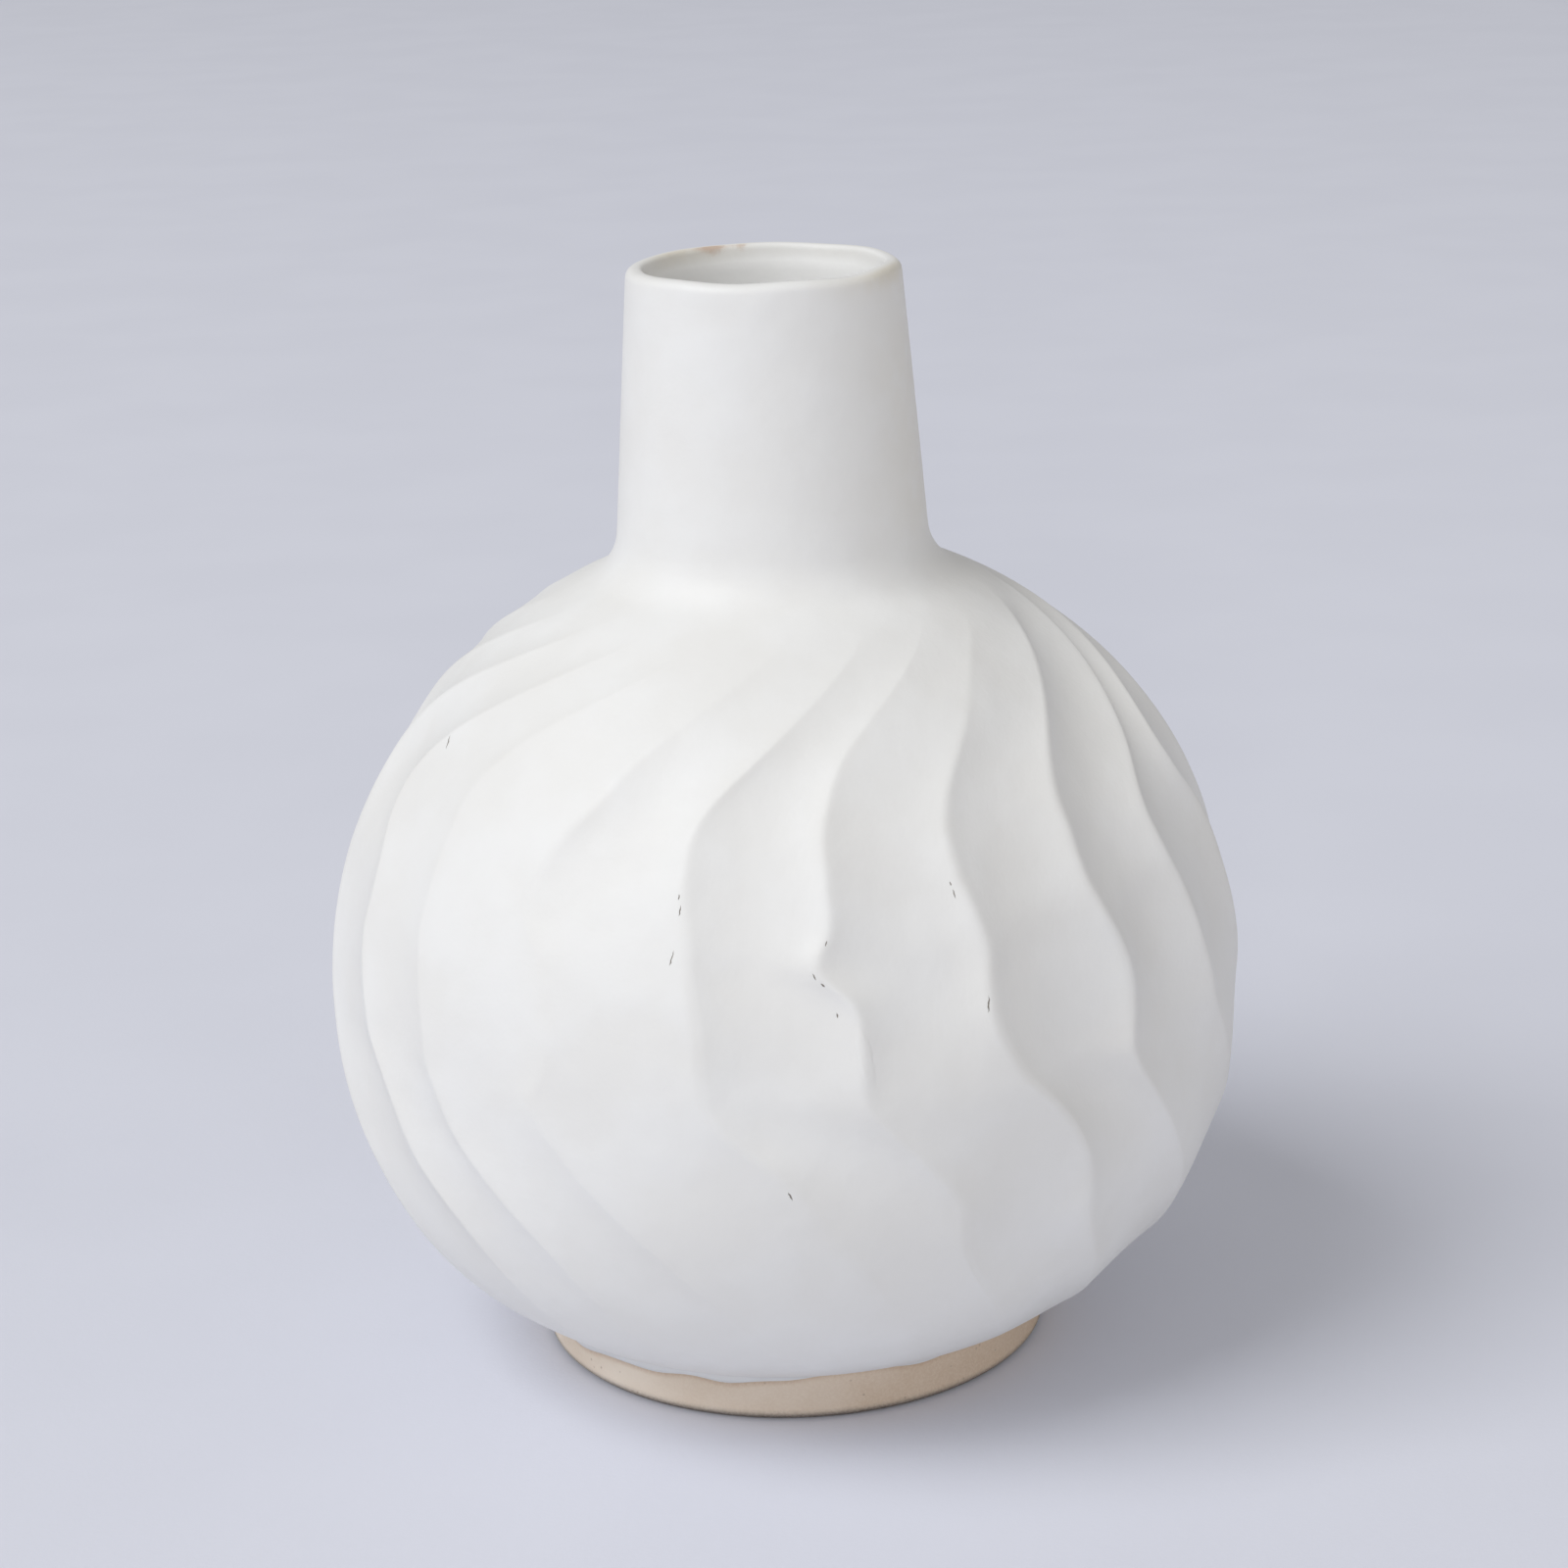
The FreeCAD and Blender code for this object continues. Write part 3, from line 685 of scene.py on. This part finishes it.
# the liner: its back on the clay and its open side as one outline turned round the axis; the open side has
# throwing rings, a sine of the distance along it that turns with the angle
def makeLinerGlaze():
    back, openSide = linerSide(0.0, liner["backGap"]), linerSide(coat["liner"], liner["gap"])
    outline = np.concatenate([back[::-1], openSide])
    angle = np.linspace(0, 2 * np.pi, liner["columns"], endpoint=False)[None, :]
    r, z = outline[:, :1], outline[:, 1:]
    onOpen = np.arange(len(outline))[:, None] >= len(back)
    rings = liner["rings"] * np.sin(2 * np.pi * lengths(outline)[:, None] / liner["ringPitch"] + angle)
    rings = onOpen * np.clip(r / liner["ringsFullR"], 0, 1) * rings
    glaze = gridMesh("linerGlaze", placed(r - rings, z, angle))
    glaze.data.materials.append(glazeMaterial("linerGlaze", linerGlaze, False))
    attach(glaze, "root")
    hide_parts("liner_glaze")
    print("liner glaze:", len(glaze.data.polygons), "faces")
    return glaze


clay = {
    "colour": (0.82, 0.70, 0.57), "pale": (0.91, 0.81, 0.69), "halo": (0.60, 0.44, 0.32),
    "paintedSideShadeColour": (0.53, 0.35, 0.21), "grit": (0.38, 0.285, 0.215), "paintedContactShadow": (0.13, 0.11, 0.10),
    "roughness": 0.82, "grainRough": 0.2, "ior": 1.45, "cloud": 9 * mm, "cloudEdges": (0.3, 0.7),
    "grain": 0.35 * mm, "grainH": 0.03 * mm, "grainEdges": (0.35, 0.7), "grainShare": 0.25,
    "gritGap": 1.3 * mm, "gritSize": (0.05, 0.18), "gritPatch": 2.2 * mm, "gritEdges": (0.5, 0.62),
    "gritShare": 0.6, "haloH": 1.0 * mm, "haloShare": 0.8, "paintedSideShadeShare": 0.6, "paintedContactShadowShare": 0.92,
}


# bare clay: clouds drift between two tans under a pale grain, with dark grit where small cells and patches of
# noise meet; on the foot, its marks darken the halo under the glaze and add a painted shade on the right side
# and a painted contact shadow on the outer bevel
def clayMaterial(name, onFoot):
    material, shade = newMaterial(name, clay["colour"])
    clouds = shade.noise(clay["cloud"], 4.0)
    grain = shade.noise(clay["grain"], 3.0, roughness=0.7)
    cellInputs = {"Vector": shade.place(), "Scale": 1 / clay["gritGap"]}
    cells = shade.make("ShaderNodeTexVoronoi", {}, cellInputs, "Distance")
    grit = (1 - cells.step(*clay["gritSize"])) * shade.noise(clay["gritPatch"], 1.0).step(*clay["gritEdges"])
    colour = clouds.step(*clay["cloudEdges"]).blend(clay["colour"], clay["pale"])
    if onFoot:
        halo = 1 - shade.mark("underGlaze").step(0.0, clay["haloH"])
        colour = (halo * clay["haloShare"]).blend(colour, clay["halo"])
        # painted shade: the foot's right side darker and warmer, away from the light
        colour = (shade.mark("paintedSideShade") * clay["paintedSideShadeShare"]).blend(colour, clay["paintedSideShadeColour"])
        # painted contact shadow: the outer bevel at the bottom darkened almost to black
        colour = (shade.mark("edge") * clay["paintedContactShadowShare"]).blend(colour, clay["paintedContactShadow"])
    colour = (grain.step(*clay["grainEdges"]) * clay["grainShare"]).blend(colour, clay["pale"])
    colour = (grit * clay["gritShare"]).blend(colour, clay["grit"])
    normal = shade.bump(grain, clay["grainH"])
    rough = clay["roughness"] + (grain - 0.5) * clay["grainRough"]
    finishMaterial(shade, {"Base Color": colour, "Roughness": rough, "Normal": normal, "IOR": clay["ior"]})
    return material


globe = {
    "steps": 8, "softening": 1, "gap": 1.6 * mm, "underGap": 1.6 * mm / 3, "insideGap": 3.2 * mm,
    "recess": 0.5 * mm, "recessShare": 0.77,      # of the foot's radius
    "trimPitch": 1.9 * mm, "trimH": 0.09 * mm, "trimFullR": 4.0 * mm,
}


# the clay ball: underneath, outside, seam and inside as one outline carried round the pot; only the outside
# keeps the flutes, and underneath is a parabola's hollow with turned rings, a sine of the radius
def makeGlobe():
    under = evenly(np.array([[0, footTopZ], [footR, footTopZ]]), globe["underGap"])
    outside = bellyCurve(footTopZ, seamZ, coat["outer"], globe["gap"])
    seam = np.array([[float(bellyR(seamZ, coat["outer"])), seamZ], [boreR(seamZ), seamZ]])
    inside = evenly(cavityOutline(0.0), globe["insideGap"])
    outline = joined(under, outside, seam, inside)
    angle, flutedR, z, _ = carved(outline, globe["steps"], globe["softening"])
    row, plainR = np.arange(len(outline))[:, None], outline[:, :1]
    onSkin = (row >= len(under)) & (row < len(under) + len(outside) - 1)
    r = np.where(onSkin, flutedR, plainR)
    inRing = (row < len(under)) & (plainR < footR * globe["recessShare"])
    hollow = globe["recess"] * np.clip(1 - (plainR / footR) ** 2, 0, 1)
    trim = globe["trimH"] * np.sin(2 * np.pi * plainR / globe["trimPitch"] + angle)
    z = z + inRing * (hollow + trim * np.clip(plainR / globe["trimFullR"], 0, 1))
    piece = gridMesh("stonewareGlobe", placed(r, z, angle))
    piece.data.materials.append(clayMaterial("bareStoneware", False))
    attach(piece, "root")
    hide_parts("globe")
    print("globe:", len(piece.data.polygons), "faces")
    return piece


foot = {
    "columns": 288, "gap": 0.35 * mm,
    "boreR": 26.0 * mm, "draft": 0.4 * mm, "bevel": 0.7 * mm, "round": 0.45 * mm,
    "turning": 0.03 * mm, "pitch": 1.1 * mm, "turnedIn": 0.2 * mm,
    "turnedZ": ((0.6, 0.0), (1.4, 1.0), (3.2, 1.0), (4.0, 0.0)),      # height in mm and a share there
    "paintedShadowH": 1.0 * mm, "paintedShadowIn": (1.8, 0.6),    # mm inside the edge where the painted contact shadow starts and is full
    "paintedSideShadeAt": 62.0,                              # degrees from the front, to the right, where the painted shade on the foot is darkest
}


# the foot ring: a bevelled section turned round the axis, its outer face scored by a sine of the height that
# climbs with the angle; its marks are the depth under the glaze line, a painted contact shadow on the outer
# bevel and a painted shade on the right side
def makeFootRing():
    inR = foot["boreR"] + foot["draft"]
    corners = [
        (footR, footTopZ, 0.0), (foot["boreR"], footTopZ, 0.0),
        (inR, foot["bevel"], foot["round"]), (inR + foot["bevel"], 0.0, foot["round"]),
        (footR - foot["bevel"], 0.0, foot["round"]), (footR, foot["bevel"], foot["round"]),
        (footR, footTopZ, 0.0),
    ]
    outline = evenly(rounded(corners), foot["gap"])[:-1]
    angle = np.linspace(0, 2 * np.pi, foot["columns"], endpoint=False)[None, :]
    r, z = outline[:, :1], outline[:, 1:]
    turned = eased(z / mm, foot["turnedZ"]) * (r > footR - foot["turnedIn"])
    scored = turned * foot["turning"] * np.abs(np.sin(2 * np.pi * z / foot["pitch"] + angle))
    far, near = foot["paintedShadowIn"]
    outerSide = eased(r / mm, ((footR / mm - far, 0.0), (footR / mm - near, 1.0)))
    piece = gridMesh("footRing", placed(r - scored, z, angle), loop=True, marks={
        "underGlaze": lineZ(angle) - z,
        # painted contact shadow on the outer bevel, fading upward and inward
        "edge": outerSide * np.exp(-(z / foot["paintedShadowH"]) ** 4),
        # painted shade, strongest on the foot's right side
        "paintedSideShade": (0.5 + 0.5 * np.cos(angle - math.radians(foot["paintedSideShadeAt"]))) ** 2,
    })
    piece.data.materials.append(clayMaterial("footStoneware", True))
    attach(piece, "root")
    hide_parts("foot_ring")
    print("foot ring:", len(piece.data.polygons), "faces")
    return piece


makeOuterGlaze()
makeLinerGlaze()
makeGlobe()
makeFootRing()

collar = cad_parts["neck_collar"]
collar.data.materials.clear()
collar.data.materials.append(clayMaterial("collarStoneware", False))
print("neck collar keeps its own shape")

stage = {
    "size": 9.0, "colour": (0.722, 0.732, 0.808), "fleck": (0.737, 0.747, 0.823), "fleckSize": 50 * mm,
    "fleckEdges": (0.3, 0.7), "grain": 0.6 * mm, "grainH": 0.02 * mm, "roughness": 0.9,
}


# a large flat square of paper
def makeFloor():
    half = stage["size"] / 2
    mesh = bpy.data.meshes.new("floor")
    corners = [(-half, -half, 0), (half, -half, 0), (half, half, 0), (-half, half, 0)]
    mesh.from_pydata(corners, [], [(0, 1, 2, 3)])
    floor = bpy.data.objects.new("floor", mesh)
    bpy.context.scene.collection.objects.link(floor)
    material, shade = newMaterial("paper", stage["colour"])
    flecks = shade.noise(stage["fleckSize"]).step(*stage["fleckEdges"])
    colour = flecks.blend(stage["colour"], stage["fleck"])
    normal = shade.bump(shade.noise(stage["grain"]), stage["grainH"])
    finishMaterial(shade, {"Base Color": colour, "Roughness": stage["roughness"], "Normal": normal})
    mesh.materials.append(material)


# each softbox: turn from the front, rise, distance, size, how brightly it lights a wall that faces it, colour
lights = {
    "window": (-61.0, 50.0, 6.5, 4.0, 0.592, (0.98, 0.995, 1.015)),
    "front": (-6.0, 16.0, 4.0, 0.6, 0.135, (1.0, 1.0, 0.99)),
    "side": (78.0, 12.0, 4.0, 2.5, 0.075, (1.0, 0.92, 0.80)),
}
sky = {"colour": (0.99, 0.995, 1.01), "strength": 0.40}


# square softboxes that all face the vase's middle, and an even sky
def makeLights():
    for name, (turn, rise, away, size, level, colour) in lights.items():
        turn, rise = math.radians(turn), math.radians(rise)
        data = bpy.data.lights.new(name, "AREA")
        data.shape, data.size = "SQUARE", size
        data.energy, data.color = level * (math.pi * away) ** 2, colour
        lamp = bpy.data.objects.new(name, data)
        lamp.location = placed(away * math.cos(rise), mouthZ / 2 + away * math.sin(rise), turn)
        lamp.rotation_euler = Euler((math.pi / 2 - rise, 0, turn))
        bpy.context.scene.collection.objects.link(lamp)
    world = bpy.data.worlds.new("studio")
    world.use_nodes = True
    background = world.node_tree.nodes["Background"]
    background.inputs["Color"].default_value = (*sky["colour"], 1)
    background.inputs["Strength"].default_value = sky["strength"]
    bpy.context.scene.world = world


# how far the camera stands off and how high, its angles in degrees, its lens and sensor in mm, and the
# nearest and farthest distance that it sees
view = {
    "away": 444.33 * mm, "height": 213.31 * mm, "down": 17.514, "roll": 1.792, "turn": -0.068,
    "lens": 83.92, "sensor": 36.0, "near": 0.01, "far": 50.0,
}


# a camera in front of the vase that looks down at it, turned a little about its own line of sight
def makeCamera():
    data = bpy.data.cameras.new("camera")
    data.lens, data.sensor_width = view["lens"], view["sensor"]
    data.clip_start, data.clip_end = view["near"], view["far"]
    camera = bpy.data.objects.new("camera", data)
    camera.location = (0, -view["away"], view["height"])
    aim = Euler((math.radians(90 - view["down"]), 0, math.radians(view["turn"]))).to_matrix()
    roll = Euler((0, 0, math.radians(-view["roll"]))).to_matrix()
    camera.rotation_euler = (aim @ roll).to_euler()
    bpy.context.scene.collection.objects.link(camera)
    bpy.context.scene.camera = camera


makeFloor()
makeLights()
makeCamera()
bpy.context.scene.view_settings.view_transform = "Standard"
print("stage, lights and camera in place")
